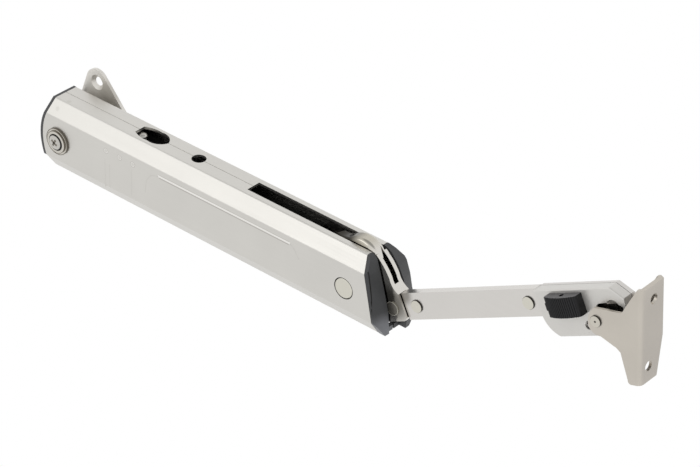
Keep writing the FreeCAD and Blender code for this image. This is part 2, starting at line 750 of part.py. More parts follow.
def slider():
    """Fork that the spring pushes against the cams, with round noses."""
    body = start_body("slider_fork")
    nose_at = -(size("cam_top") + size("follower_radius"))
    root = nose_at - size("fork_length")
    rear = root - size("slider_root")
    high = size("slider_half_height")
    inner = size("half_width") - WALL - size("channel_wall") - 0.2
    tine = size("follower_radius")
    outer = size("arm_half") + size("cam_width")
    pad_side(body, -inner, inner, (rear, -high), [(root, -high), (root, high), (rear, high)])
    for sign in (-1, 1):
        faces = sorted((sign * size("fork_gap_half"), sign * outer))
        pad_side(body, faces[0], faces[1], (root - 1.0, high - 3.5),
                 [(root, high - 3.5), (nose_at - 8.0, tine), (nose_at, tine),
                  (nose_at + tine, 0.0, nose_at, -tine), (nose_at - 8.0, -tine), (root, 3.5 - high),
                  (root - 1.0, 3.5 - high)])
    sketch = sketch_on(body, "YZ_Plane", rear - 1.0)
    draw_circle(sketch, 0.0, 0.0, size("rod_radius") + 0.3)
    feature(body, "PartDesign::Pocket", sketch, Length=size("slider_root") + 2.0, Reversed=True)
    place(body, "Sizes.pivot_to_pin")


def spring_rear():
    return PIN_X - size("cam_top") - size("follower_radius") - size("fork_length") - size("slider_root")


def channel():
    """Black moulded channel that guides the slider and covers the spring."""
    body = start_body("spring_channel")
    side = size("half_width") - WALL
    high = size("channel_half_height")
    wall = size("channel_wall")
    left = size("channel_left")
    sketch = sketch_on(body, "YZ_Plane", left)
    draw(sketch, (-side, -high), [(side, -high), (side, high), (-side, high)])
    draw(sketch, (-side + wall, -high + wall), [(side - wall, -high + wall), (side - wall, high - wall),
                                                (-side + wall, high - wall)])
    feature(body, "PartDesign::Pad", sketch, Length=size("channel_right") - left)
    place(body)


def seat():
    """Block that anchors the spring, held by the screw under the oval hole."""
    body = start_body("spring_seat")
    side = size("half_width") - WALL
    left = size("seat_left")
    right = size("channel_left")
    low = -size("channel_half_height")
    high = size("seat_height")
    pad_side(body, -side, side, (left, low), [(right, low), (right, high - 3.0), (right - 3.0, high),
                                              (left + 3.0, high), (left, high - 3.0)])
    sketch = sketch_on(body, "XY_Plane", high - 9.0)
    draw_circle(sketch, size("seat_screw_x"), 0.0, size("pivot_shank_radius") - 0.4)
    feature(body, "PartDesign::Pocket", sketch, Length=12.0, Reversed=True)
    sketch = sketch_on(body, "YZ_Plane", right - 8.0)
    draw_circle(sketch, 0.0, 0.0, size("rod_radius"))
    feature(body, "PartDesign::Pocket", sketch, Length=9.0, Reversed=True)
    place(body)

    screw = start_body("seat_screw")
    radius = size("seat_screw_radius")
    shank = size("pivot_shank_radius") - 0.45
    sketch = sketch_on(screw, "XZ_Plane")
    draw(sketch, (0, high - 8.5), [(shank, high - 8.5), (shank, high), (radius, high),
                                   (radius, high + size("seat_screw_head")),
                                   dome(radius, 1.2, high + size("seat_screw_head"))])
    feature(screw, "PartDesign::Revolution", sketch, ReferenceAxis=(sketch, ["V_Axis"]), Angle=360.0)
    place(screw, "Sizes.seat_screw_x")

    rod = start_body("guide_rod")
    sketch = sketch_on(rod, "YZ_Plane", right - 8.0)
    draw_circle(sketch, 0.0, 0.0, size("rod_radius") - 0.02)
    feature(rod, "PartDesign::Pad", sketch, Length=spring_rear() + size("slider_root") + 1.0 - right + 8.0)
    place(rod)


def spring():
    """Main compression spring on its rod, between the seat and the slider."""
    wire = size("spring_wire") / 2.0
    start = size("channel_left") + wire
    end = spring_rear() - wire
    turns = size("spring_turns")
    radius = size("spring_radius") - wire
    per_turn = 10
    sides = 5
    count = int(turns * per_turn)
    lean = math.atan((end - start) / turns / (2.0 * math.pi * radius))
    rings = []
    for index in range(count + 1):
        angle = 2.0 * math.pi * index / per_turn
        centre = Vector((end - start) * index / count, radius * math.cos(angle), radius * math.sin(angle))
        out = Vector(0, math.cos(angle), math.sin(angle))
        side = Vector(math.cos(lean), math.sin(angle) * math.sin(lean), -math.cos(angle) * math.sin(lean))
        corners = []
        for corner in range(sides):
            turn = 2.0 * math.pi * corner / sides
            corners.append(centre + out * (wire * math.cos(turn)) + side * (wire * math.sin(turn)))
        rings.append(Part.makePolygon(corners + corners[:1]))
    coil = Part.makeLoft(rings, True, True)
    item = doc.addObject("Part::Feature", "drive_spring")
    item.Label = "drive_spring"
    item.Shape = coil
    item.Placement = FreeCAD.Placement(Vector(start, -MID, 0), Rotation())
    parts.append(item)


# Link, lock body and button, all drawn about the tip rivet along the link

TIP_X = "Sizes.pivot_to_pin + Sizes.tip_x"
TIP_Z = "Sizes.tip_z"
TILT = "Sizes.link_angle"


def on_link_body(body):
    place(body, TIP_X, TIP_Z, TILT)


def at_link(u, w):
    """Expressions for a point u, w on the link's own axes."""
    x = "%s + (%s) * cos(Sizes.link_angle) - (%s) * sin(Sizes.link_angle)" % (TIP_X, u, w)
    z = "%s + (%s) * sin(Sizes.link_angle) + (%s) * cos(Sizes.link_angle)" % (TIP_Z, u, w)
    return x, z


def link():
    high = size("link_half_height")
    half = size("link_half")
    skin = size("link_sheet")
    start = size("link_start")
    end = LOCK_LEFT - size("link_to_lock")
    bar = size("bar_half")
    first = size("link_rivet_first")
    second = end - size("link_rivet_inset")
    hole = size("link_rivet_shank")
    channel_body = start_body("link_channel")
    pad_side(channel_body, -half, half, (start, -high), [(end, -high), (end, high), (start, high)],
             [(first, 0.0, hole), (second, 0.0, hole)])
    cut_side(channel_body, (start - 1, -high - 1), [(end + 1, -high - 1), (end + 1, high - skin),
             (start - 1, high - skin)], back=bar + 0.05, length=2 * (bar + 0.05))
    on_link_body(channel_body)

    bar_body = start_body("link_bar")
    low = -high
    top = size("lock_top") - size("lock_sheet") - 0.1
    deep = size("hinge_w") - size("hinge_pin_radius") - 2.6
    finish = size("hinge_u") + size("bar_past_hinge")
    pad_side(bar_body, -bar, bar, (0.0, -6.4),
             [(6.0, low + 0.4), (LOCK_LEFT + 2.0, low), (LOCK_LEFT + 9.0, deep),
              (finish - 2.0, deep), (finish, deep + 2.0), (finish, 1.0), (finish - 5.0, top),
              (6.0, top), (0.0, 6.0), (-6.0, 0.0, 0.0, -6.4)])
    fit = size("spacer_pin_radius") + 0.02
    drill_side(bar_body, [(0.0, 0.0, size("tip_rivet_shank")), (first, 0.0, hole), (second, 0.0, hole),
                          (LOCK_LEFT + size("spacer_lower_in"), size("spacer_lower_w"), fit),
                          (LOCK_LEFT + size("spacer_upper_in"), size("spacer_upper_w"), fit),
                          (size("hinge_u"), size("hinge_w"), size("hinge_pin_radius") + 0.1)])
    on_link_body(bar_body)

    rivet("tip_rivet", size("tip_rivet_radius"), size("tip_rivet_shank"), size("arm_half"), "0", "0")
    upper = "Sizes.hinge_u + Sizes.lock_past_hinge - Sizes.lock_length - Sizes.link_to_lock" \
            " - Sizes.link_rivet_inset"
    rivet("link_rivet_lower", size("link_rivet_radius"), hole, half, "Sizes.link_rivet_first", "0")
    rivet("link_rivet_upper", size("link_rivet_radius"), hole, half, upper, "0")


def rivet(label, head_radius, hole_radius, face, u, w):
    """Solid rivet with a low flat head on each side."""
    x, z = at_link(u, w)
    head = size("rivet_head")
    outer = face + head
    shank = hole_radius - 0.02
    turned(label, (0, -outer), [(head_radius - head, -outer), (head_radius, -face), (shank, -face),
                                (shank, face), (head_radius, face), (head_radius - head, outer), (0, outer)],
           x, z)


def lock_outline():
    left = LOCK_LEFT
    right = LOCK_RIGHT
    top = size("lock_top")
    low = size("lock_bottom")
    return (left, top), [(right - 7.0, top), (right, top - 6.1), (right, low + 8.5),
                         (right - 2.5, low + 2.5, right - 8.5, low), (left + 8.5, low),
                         (left + 3.6, low + 4.2, left + 0.9, low + 11.0)]


def lock_shell(label, sign):
    """Half of the lock body: a plate with a flange folded in along its top and ends."""
    body = start_body(label)
    face = size("lock_half")
    skin = size("lock_sheet")
    seam = size("lock_seam")
    half_gap = size("lock_seam_gap") / 2.0
    edge = sign * face
    inner = seam + sign * half_gap
    start, steps = lock_outline()
    faces = sorted((edge, inner))
    pad_side(body, faces[0], faces[1], start, steps)

    def is_fold(point, sharp):
        along_top = point.z > size("lock_top") - 6.2 and LOCK_LEFT + 1.0 < point.x < LOCK_RIGHT - 0.1
        return abs(point.y - edge) < 1e-4 and along_top and sharp.BoundBox.XLength > 3.0

    round_edges(body, size("lock_fold"), is_fold)
    left = LOCK_LEFT
    right = LOCK_RIGHT
    top = size("lock_top")
    low = size("lock_bottom")
    depth = abs(edge - inner) - skin
    sketch = sketch_on(body, "XZ_Plane", -(inner if sign < 0 else face - skin))
    draw(sketch, (left - 5, top - skin), [(right - 7.6, top - skin), (right - skin, top - 6.8),
         (right - skin, low + 9.0), (right + 5, low + 9.0), (right + 5, low - 5), (left - 5, low - 5)])
    feature(body, "PartDesign::Pocket", sketch, Length=depth, Reversed=True)
    hole = size("hinge_pin_radius") + size("running_clearance")
    drill_side(body, [(size("hinge_u"), size("hinge_w"), hole)])
    if sign < 0:
        travel = size("button_travel")
        inset = size("button_stem_inset") - 0.3
        cut_side(body, (BUTTON_LEFT + inset - travel, size("button_low") + inset),
                 [(BUTTON_RIGHT - inset, size("button_low") + inset),
                  (BUTTON_RIGHT - inset, size("button_high") - inset),
                  (BUTTON_LEFT + inset - travel, size("button_high") - inset)])
        windows(body)
    on_link_body(body)


def windows(body):
    """Window over the latch nose and the round hole behind the bracket's ear, both cut
    into the front plate."""
    u = size("hinge_u") + size("nose_past_hinge")
    w = size("nose_w")
    back = size("lock_sheet") + 0.5 - size("lock_half")
    length = size("lock_sheet") + 3.0
    cut_side(body, (u - 10.9, w - 0.1), [(u - 9.5, w + 1.9, u - 7.4, w + 2.5), (u - 4.0, w + 2.65),
             (u, w + 2.0), (u + 4.0, w + 1.5), (u + 6.3, w), (u + 5.6, w - 3.8), (u - 3.0, w - 3.8),
             (u - 4.4, w - 1.2), (u - 7.6, w - 0.5)], back=back, length=length)
    drill_side(body, [(u, w, size("nose_radius"))], back=back, length=length)
    drill_side(body, [(size("hinge_u") - size("view_hole_back"), size("view_hole_w"),
                       size("view_hole_radius"))], back=back, length=length)


def latch_parts():
    """Button with its latch plate and stud, which slide together along the link."""
    face = size("lock_half")
    skin = size("lock_sheet")
    plate_front = -face + skin + 0.1
    plate_back = plate_front + size("latch_sheet")
    left = BUTTON_LEFT
    right = BUTTON_RIGHT
    low = size("button_low")
    high = size("button_high")
    nose = size("hinge_u") + size("nose_past_hinge")
    chord = size("nose_w") + 1.5
    plate = start_body("latch_plate")
    pad_side(plate, plate_front, plate_back, (left + 2.0, low + 1.8),
             [(right, low + 1.8), (right + 2.0, chord + 2.6), (nose - 4.6, chord + 2.6), (nose - 4.6, chord),
              (nose + 4.6, chord), (nose + 4.6, chord + 2.6), (nose + 1.0, high - 0.9), (left + 2.0, high - 0.9)])
    on_link_body(plate)

    inner_face = face - skin
    lock_left = "Sizes.hinge_u + Sizes.lock_past_hinge - Sizes.lock_length"
    for label in ("lower", "upper"):
        x, z = at_link("%s + Sizes.spacer_%s_in" % (lock_left, label), "Sizes.spacer_%s_w" % label)
        pin("lock_spacer_" + label, size("spacer_pin_radius"), -inner_face, inner_face, x, z, edge=0.1)
    x, z = at_link("Sizes.hinge_u + Sizes.nose_past_hinge", "Sizes.stud_w")
    pin("stop_stud", size("stud_radius"), plate_back, -size("bar_half") - 0.05, x, z, edge=0.05)

    button = start_body("release_button")
    gap = size("button_gap")
    edge_face = -size("button_face")
    crown = edge_face - size("button_crown")
    stem = size("button_stem_inset")
    sketch = sketch_on(button, "XY_Plane", low)
    steps = button_face_steps(left, right, edge_face, crown)
    draw(sketch, (left, -face - gap), [(left, edge_face + 0.8)] + steps + [(right, edge_face + 0.8),
                                                                        (right, -face - gap)])
    feature(button, "PartDesign::Pad", sketch, Length=high - low)
    pad_side(button, -face - gap - 0.05, plate_front, (left + stem, low + stem),
             [(right - stem, low + stem), (right - stem, high - stem), (left + stem, high - stem)])
    nub = size("button_nub")
    pad_side(button, -face - gap - 1.4, -face - gap, (left - nub, -3.0),
             [(left + 0.5, -3.0), (left + 0.5, 1.0), (left - nub, 1.0)])
    sketch = sketch_on(button, "XY_Plane", high - 0.7)
    draw_circle(sketch, (left + right) / 2.0, -face - 3.0, 1.3)
    feature(button, "PartDesign::Pocket", sketch, Length=2.0, Reversed=True)
    on_link_body(button)


def button_face_steps(left, right, edge_face, crown):
    """Ribbed front of the button: grooves between ribs on a shallow arc."""
    pitch = size("rib_pitch")
    depth = size("rib_depth")
    middle = (left + right) / 2.0
    half = (right - left) / 2.0
    count = int((right - left - 2.0) / pitch)
    begin = middle - count * pitch / 2.0

    def front(u):
        return edge_face + (crown - edge_face) * (1.0 - ((u - middle) / half) ** 2)

    steps = [(left + 0.4, edge_face)]
    for index in range(count):
        u = begin + index * pitch
        steps += [(u, front(u) + depth), (u + 0.2 * pitch, front(u)), (u + 0.75 * pitch, front(u)),
                  (u + 0.95 * pitch, front(u) + depth)]
    return steps + [(right - 0.4, edge_face)]


# Lid bracket

def lid_bracket():
    """Bracket folded from one sheet, drawn about the hinge axis: a long front ear, the
    plate for the lid and a short rear ear."""
    body = start_body("lid_bracket")
    half = size("lid_half")
    rear = size("rear_ear")
    plate = size("plate_at")
    skin = size("lid_sheet")
    top = size("plate_top")
    low = -size("plate_bottom")
    fold = plate - skin
    radius = size("ear_radius")
    sketch = sketch_on(body, "XZ_Plane", -rear)
    start = (fold + 0.05, top + 0.9)
    steps = [(23.8, top + 0.5), (17.3, 14.4), (14.9, 9.8), (-1.5, 7.0), (-radius * 0.47, 3.6, -4.85, -0.9),
             (-3.6, -5.6, 2.7, -7.6), (12.25, -10.8), (14.6, -12.5), (19.1, -26.7),
             (19.7, low - 0.6, 21.6, low - 0.9), (fold + 0.05, low - 0.2), (plate, low), (plate, top)]
    draw(sketch, start, steps)
    feature(body, "PartDesign::Pad", sketch, Length="Sizes.lid_half + Sizes.rear_ear")
    sketch = sketch_on(body, "XZ_Plane", -(rear - skin))
    draw(sketch, (-radius - plate, low - plate), [(fold, low - plate), (fold, top + plate),
                                                  (-radius - plate, top + plate)])
    feature(body, "PartDesign::Pocket", sketch, Length=half + rear - 2.0 * skin, Reversed=True)

    def is_bend(point, edge):
        return edge.BoundBox.ZLength > 40 and abs(point.y + half) < 0.01 and point.x > plate - 0.1

    round_edges(body, size("bend_radius"), is_bend)
    drill_side(body, [(0.0, 0.0, size("hinge_pin_radius"))])
    sketch = sketch_on(body, "YZ_Plane", -plate)
    ear_end = -size("rear_ear_low")
    draw(sketch, (rear + 1.0, ear_end), [(rear, ear_end), (size("plate_low_edge"), low),
                                         (size("plate_low_edge"), low - 3.0), (rear + 1.0, low - 3.0)])
    feature(body, "PartDesign::Pocket", sketch, Length=3.0 * plate, Reversed=True)
    for across, along in ((0.0, size("plate_hole_up")), (size("plate_hole_shift"), -size("plate_hole_down"))):
        sketch = sketch_on(body, "YZ_Plane", fold - 1.0)
        draw_circle(sketch, across, along, size("plate_hole_radius"))
        feature(body, "PartDesign::Pocket", sketch, Length=4.0, Reversed=True)
    x, z = at_link("Sizes.hinge_u", "Sizes.hinge_w")
    place(body, x, z, "Sizes.lid_tilt")


def hinge_parts():
    """Hinge pin riveted in the ears, and the collars beside the lock body."""
    x, z = at_link("Sizes.hinge_u", "Sizes.hinge_w")
    radius = size("hinge_pin_radius")
    out = size("pin_head_out")
    front = -size("lid_half")
    rear = size("rear_ear")
    skin = size("lid_sheet")
    dimple = 0.9
    turned("hinge_pin", (0, front - out + 0.5), [(dimple, front - out), (radius - 0.2, front - out),
           (radius - 0.02, front), (radius - 0.02, rear), (radius - 0.2, rear + out),
           (dimple, rear + out), (0, rear + out - 0.5)], x, z)
    face = size("lock_half")
    for label, near, far in (("hinge_collar_front", front + skin + 0.05, -face - 0.05),
                             ("hinge_collar_rear", face + 0.05, rear - skin - 0.05)):
        ring(label, radius + 0.02, radius + size("collar_wall"), near, far, x, z)


shell("front_shell", -1)
shell("rear_shell", 1)
base_bracket()
pivot_parts()
left_cap()
right_cap("right_cap_front", -1, 0.0)
right_cap("right_cap_rear", 1, size("rear_cap_swell"))
arm()
cam("cam_front", -size("arm_half") - size("cam_width"))
cam("cam_rear", size("arm_half"))
main_pin_parts()
slider()
channel()
seat()
spring()
link()
lock_shell("lock_shell_front", -1)
lock_shell("lock_shell_rear", 1)
latch_parts()
lid_bracket()
hinge_parts()

doc.recompute()
for item in doc.Objects:
    assert not {"Invalid", "Error"} & set(item.State), item.Name + " failed"
for item in parts:
    shape = item.Shape
    assert not shape.isNull() and shape.isValid(), item.Label + " is not a valid solid"
    assert len(shape.Solids) == 1, "%s has %d solids" % (item.Label, len(shape.Solids))

os.makedirs("parts", exist_ok=True)
for item in parts:
    item.Shape.exportStep("parts/%s.step" % item.Label)
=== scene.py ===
"""Looks of the folding lid stay: satin steel sheet, dark mouldings and a ribbed button."""

import json
import math

import bmesh
import bpy
from mathutils import Matrix, Vector


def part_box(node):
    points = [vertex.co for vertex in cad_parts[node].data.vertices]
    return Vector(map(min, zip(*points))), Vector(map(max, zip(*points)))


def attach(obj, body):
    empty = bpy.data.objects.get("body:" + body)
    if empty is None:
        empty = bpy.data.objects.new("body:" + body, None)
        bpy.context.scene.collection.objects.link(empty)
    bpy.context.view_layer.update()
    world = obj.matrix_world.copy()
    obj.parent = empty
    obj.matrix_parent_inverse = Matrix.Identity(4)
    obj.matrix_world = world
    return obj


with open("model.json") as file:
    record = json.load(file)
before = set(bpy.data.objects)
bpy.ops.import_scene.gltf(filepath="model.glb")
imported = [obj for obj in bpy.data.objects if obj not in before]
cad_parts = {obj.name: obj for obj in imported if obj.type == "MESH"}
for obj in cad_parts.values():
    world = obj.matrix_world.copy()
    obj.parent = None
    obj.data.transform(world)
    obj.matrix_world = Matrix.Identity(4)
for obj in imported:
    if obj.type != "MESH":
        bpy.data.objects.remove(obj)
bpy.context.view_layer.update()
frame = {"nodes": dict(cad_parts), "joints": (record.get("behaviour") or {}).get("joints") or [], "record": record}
NODES = frame["nodes"]
JOINTS = {joint["name"]: joint for joint in frame["joints"]}
MM = 0.001

# Camera, solved from the photo: a long lens looking down at the front and the arm's end
CAMERA_AT = (0.95459, -0.93634, 0.80954)
CAMERA_RIGHT = (0.75955733, 0.64952109, 0.03456898)
CAMERA_FORWARD = (-0.52726337, 0.64596721, -0.55201423)
LENS_MM = 139.70
SENSOR_MM = 36.0
CLIP_END = 20.0

# Stage and lights
FLOOR_AT = (0.2, 0.0, -0.30)    # below the arm where the case hangs down at its lower limit
FLOOR_SIZE = 12.0
FLOOR_GREY = (0.86, 0.86, 0.86, 1.0)
WHITE = (1.0, 1.0, 1.0, 1.0)
TENT_LEVEL = 1.03      # world light from the sides
ROOF_LEVEL = 0.50      # world light from straight above
ROOF_FROM, ROOF_TO = 0.76, 0.92     # height of direction over which the tent fades to the roof
SOFTBOX_AT = (-0.60, -1.42, 0.66)
SOFTBOX_AIM = (0.18, 0.0, 0.0)
SOFTBOX_SIZE = (1.0, 0.6)
SOFTBOX_WATTS = 1.85


# Places on the object, in millimetres

def box_mm(node):
    """Lowest and highest corner of a CAD node at rest."""
    return [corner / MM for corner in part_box(node)]


def axis_at(node):
    """Axis of a CAD node that is round about the cross axis, as x and z."""
    low, high = box_mm(node)
    return (low.x + high.x) / 2.0, (low.z + high.z) / 2.0


MID_Y = JOINTS["case_swing"]["pos_m"][1] / MM      # middle plane of the lid stay
FRONT_Y = box_mm("front_shell")[0].y
TOP_Z = box_mm("front_shell")[1].z
LINK_FACE_Y = box_mm("link_channel")[0].y
LID_EAR_Y = box_mm("lid_bracket")[0].y
HINGE = [c / MM for c in JOINTS["lid_swing"]["pos_m"][::2]]    # x and z of the hinge's axis
WELDS_X = (38.2, 48.7, 58.9)
WELD_Z = 9.9


# Stage, lights and camera

def make_camera():
    data = bpy.data.cameras.new("photo_camera")
    data.sensor_fit = "HORIZONTAL"
    data.sensor_width = SENSOR_MM
    data.lens = LENS_MM
    data.clip_end = CLIP_END
    camera = bpy.data.objects.new("photo_camera", data)
    right = Vector(CAMERA_RIGHT).normalized()
    back = -Vector(CAMERA_FORWARD).normalized()
    up = back.cross(right).normalized()
    rotation = Matrix((right, up, back)).transposed()
    camera.matrix_world = Matrix.Translation(CAMERA_AT) @ rotation.to_4x4()
    bpy.context.scene.collection.objects.link(camera)
    bpy.context.scene.camera = camera


def add_nodes(owner, *kinds):
    """New shader nodes in a material or a world."""
    return [owner.node_tree.nodes.new(kind) for kind in kinds]


def new_material(name):
    """A material with nodes, the links between them and its shader."""
    material = bpy.data.materials.new(name)
    material.use_nodes = True
    tree = material.node_tree
    return material, tree.links, tree.nodes["Principled BSDF"]


def make_floor():
    """Pale floor that keeps the shadow and shows white to the camera and in reflections."""
    bpy.ops.mesh.primitive_grid_add(x_subdivisions=2, y_subdivisions=2, size=FLOOR_SIZE,
                                    location=FLOOR_AT)
    floor = bpy.context.object
    floor.name = "floor"
    material, links, shader = new_material("pale_floor")
    shader.inputs["Base Color"].default_value = FLOOR_GREY
    shader.inputs["Roughness"].default_value = 0.9
    output = material.node_tree.nodes["Material Output"]
    path, mix, either, any_ray, glow = add_nodes(
        material, "ShaderNodeLightPath", "ShaderNodeMixShader", "ShaderNodeMath", "ShaderNodeMath",
        "ShaderNodeEmission")
    glow.inputs["Color"].default_value = WHITE
    glow.inputs["Strength"].default_value = 1.0
    either.operation = "MAXIMUM"
    links.new(path.outputs["Is Camera Ray"], either.inputs[0])
    links.new(path.outputs["Is Transmission Ray"], either.inputs[1])
    any_ray.operation = "MAXIMUM"
    links.new(either.outputs[0], any_ray.inputs[0])
    links.new(path.outputs["Is Glossy Ray"], any_ray.inputs[1])
    links.new(any_ray.outputs[0], mix.inputs["Fac"])
    links.new(shader.outputs[0], mix.inputs[1])
    links.new(glow.outputs[0], mix.inputs[2])
    links.new(mix.outputs[0], output.inputs["Surface"])
    floor.data.materials.append(material)


def make_softbox():
    """One low softbox at the front left, which gives the upper facet its sheen."""
    data = bpy.data.lights.new("front_softbox", "AREA")
    data.shape = "RECTANGLE"
    data.size, data.size_y = SOFTBOX_SIZE
    data.energy = SOFTBOX_WATTS
    light = bpy.data.objects.new("front_softbox", data)
    light.location = SOFTBOX_AT
    aim = Vector(SOFTBOX_AIM) - Vector(SOFTBOX_AT)
    light.rotation_euler = aim.to_track_quat("-Z", "Y").to_euler()
    bpy.context.scene.collection.objects.link(light)


def make_world():
    """White tent with a dimmer roof, and plain white behind the object."""
    world = bpy.data.worlds.new("studio")
    world.use_nodes = True
    links = world.node_tree.links
    background = world.node_tree.nodes["Background"]
    background.inputs["Color"].default_value = WHITE
    coords, split, roof, path, level = add_nodes(
        world, "ShaderNodeTexCoord", "ShaderNodeSeparateXYZ", "ShaderNodeMapRange",
        "ShaderNodeLightPath", "ShaderNodeMath")
    links.new(coords.outputs["Generated"], split.inputs[0])
    links.new(split.outputs["Z"], roof.inputs["Value"])
    roof.interpolation_type = "SMOOTHSTEP"
    roof.inputs["From Min"].default_value = ROOF_FROM
    roof.inputs["From Max"].default_value = ROOF_TO
    roof.inputs["To Min"].default_value = TENT_LEVEL
    roof.inputs["To Max"].default_value = ROOF_LEVEL
    level.operation = "MAXIMUM"
    links.new(roof.outputs["Result"], level.inputs[0])
    links.new(path.outputs["Is Camera Ray"], level.inputs[1])
    links.new(level.outputs[0], background.inputs["Strength"])
    bpy.context.scene.world = world


# Materials

GRAIN_SCALE = 900.0         # brushed grain of the metals
GRAIN_STRETCH = 0.02        # what is left of that scale along the grain
GRAIN_DEPTH = 0.05
ERODED_SCALE = 2600.0       # spark-eroded texture of the plastics
METAL_CLOUD_SCALE = 38.0
PLASTIC_CLOUD_SCALE = 60.0
PLASTIC_CLOUDING = 0.12
ROUGHNESS_SWING = 0.06
METAL_RELIEF = (0.06, 0.05)       # strength, and depth in millimetres
PLASTIC_RELIEF = (0.35, 0.04)
PATCH_CORE = 0.35                  # share of a patch's radius where it is full
FACING_FROM, FACING_TO = 0.75, 0.98     # how squarely a surface faces an axis


def add_noise(material, vector, scale, detail):
    """Noise over the given coordinates."""
    noise, = add_nodes(material, "ShaderNodeTexNoise")
    noise.inputs["Scale"].default_value = scale
    noise.inputs["Detail"].default_value = detail
    material.node_tree.links.new(vector, noise.inputs["Vector"])
    return noise.outputs["Fac"]


def add_clouds(material, noise, colour, clouding, spread):
    """The colour, darkened where the noise is low. The change takes the spread to each
    side of the noise's middle."""
    ramp, = add_nodes(material, "ShaderNodeValToRGB")
    dark, light = ramp.color_ramp.elements
    dark.position = 0.5 - spread
    light.position = 0.5 + spread
    dark.color = (*[c * (1.0 - clouding) for c in colour], 1.0)
    light.color = (*colour, 1.0)
    material.node_tree.links.new(noise, ramp.inputs["Fac"])
    return ramp.outputs["Color"]


def add_relief(material, noise, roughness, strength, depth):
    """Let the noise swing the roughness a little and raise a fine relief."""
    links = material.node_tree.links
    shader = material.node_tree.nodes["Principled BSDF"]
    rough, bump = add_nodes(material, "ShaderNodeMapRange", "ShaderNodeBump")
    rough.inputs["To Min"].default_value = roughness - ROUGHNESS_SWING
    rough.inputs["To Max"].default_value = roughness + ROUGHNESS_SWING
    links.new(noise, rough.inputs["Value"])
    links.new(rough.outputs["Result"], shader.inputs["Roughness"])
    bump.inputs["Strength"].default_value = strength
    bump.inputs["Distance"].default_value = depth * MM
    links.new(noise, bump.inputs["Height"])
    links.new(bump.outputs["Normal"], shader.inputs["Normal"])


def metal(name, colour, roughness, grain_axis=None, clouding=0.03, metallic=1.0):
    """Satin sheet metal: fine grain, along an axis where one is given, and faint clouds."""
    material, links, shader = new_material(name)
    shader.inputs["Metallic"].default_value = metallic
    coords, mapping, grained = add_nodes(material, "ShaderNodeTexCoord", "ShaderNodeMapping",
                                         "ShaderNodeMixRGB")
    scale = [GRAIN_SCALE] * 3
    if grain_axis is not None:
        scale[grain_axis] = GRAIN_SCALE * GRAIN_STRETCH
    mapping.inputs["Scale"].default_value = scale
    links.new(coords.outputs["Object"], mapping.inputs["Vector"])
    grain = add_noise(material, mapping.outputs["Vector"], 1.0, 4.0)
    clouds = add_noise(material, coords.outputs["Object"], METAL_CLOUD_SCALE, 3.0)
    grained.blend_type = "MULTIPLY"
    grained.inputs["Fac"].default_value = GRAIN_DEPTH
    links.new(add_clouds(material, clouds, colour, clouding, 0.2), grained.inputs["Color1"])
    links.new(grain, grained.inputs["Color2"])
    links.new(grained.outputs["Color"], shader.inputs["Base Color"])
    add_relief(material, grain, roughness, *METAL_RELIEF)
    return material


def plastic(name, colour, roughness, specular=0.5):
    """Moulded plastic with a fine spark-eroded texture."""
    material, links, shader = new_material(name)
    shader.inputs["Specular IOR Level"].default_value = specular
    coords, = add_nodes(material, "ShaderNodeTexCoord")
    fine = add_noise(material, coords.outputs["Object"], ERODED_SCALE, 3.0)
    clouds = add_noise(material, coords.outputs["Object"], PLASTIC_CLOUD_SCALE, 2.0)
    clouded = add_clouds(material, clouds, colour, PLASTIC_CLOUDING, 0.15)
    links.new(clouded, shader.inputs["Base Color"])
    add_relief(material, fine, roughness, *PLASTIC_RELIEF)
    return material


def add_smudge_and_painted_light(material, centre, radius, level, facing=None):
    """Change a finish softly round a point given in millimetres, on request only where
    the surface faces along one axis: painted shade, painted highlights, painted reflections, darker tones and real
    smudges."""
    tree = material.node_tree
    links = tree.links
    base = tree.nodes["Principled BSDF"].inputs["Base Color"]
    source = base.links[0].from_socket
    coords, away, falloff, tinted = add_nodes(material, "ShaderNodeTexCoord", "ShaderNodeVectorMath",
                                           "ShaderNodeMapRange", "ShaderNodeMixRGB")
    away.operation = "DISTANCE"
    away.inputs[1].default_value = [c * MM for c in centre]
    links.new(coords.outputs["Object"], away.inputs[0])
    falloff.interpolation_type = "SMOOTHSTEP"
    falloff.inputs["From Min"].default_value = radius * PATCH_CORE * MM
    falloff.inputs["From Max"].default_value = radius * MM
    falloff.inputs["To Min"].default_value = 1.0
    falloff.inputs["To Max"].default_value = 0.0
    links.new(away.outputs["Value"], falloff.inputs["Value"])
    amount = falloff.outputs["Result"]
    if facing:
        split, size_of, towards, both = add_nodes(
            material, "ShaderNodeSeparateXYZ", "ShaderNodeMath", "ShaderNodeMapRange",
            "ShaderNodeMath")
        links.new(coords.outputs["Normal"], split.inputs[0])
        size_of.operation = "ABSOLUTE"
        links.new(split.outputs[facing], size_of.inputs[0])
        towards.inputs["From Min"].default_value = FACING_FROM
        towards.inputs["From Max"].default_value = FACING_TO
        links.new(size_of.outputs[0], towards.inputs["Value"])
        both.operation = "MULTIPLY"
        links.new(amount, both.inputs[0])
        links.new(towards.outputs["Result"], both.inputs[1])
        amount = both.outputs[0]
    tinted.blend_type = "MULTIPLY"
    tinted.inputs["Color2"].default_value = (*level, 1.0)
    links.new(amount, tinted.inputs["Fac"])
    links.new(source, tinted.inputs["Color1"])
    links.new(tinted.outputs["Color"], base)


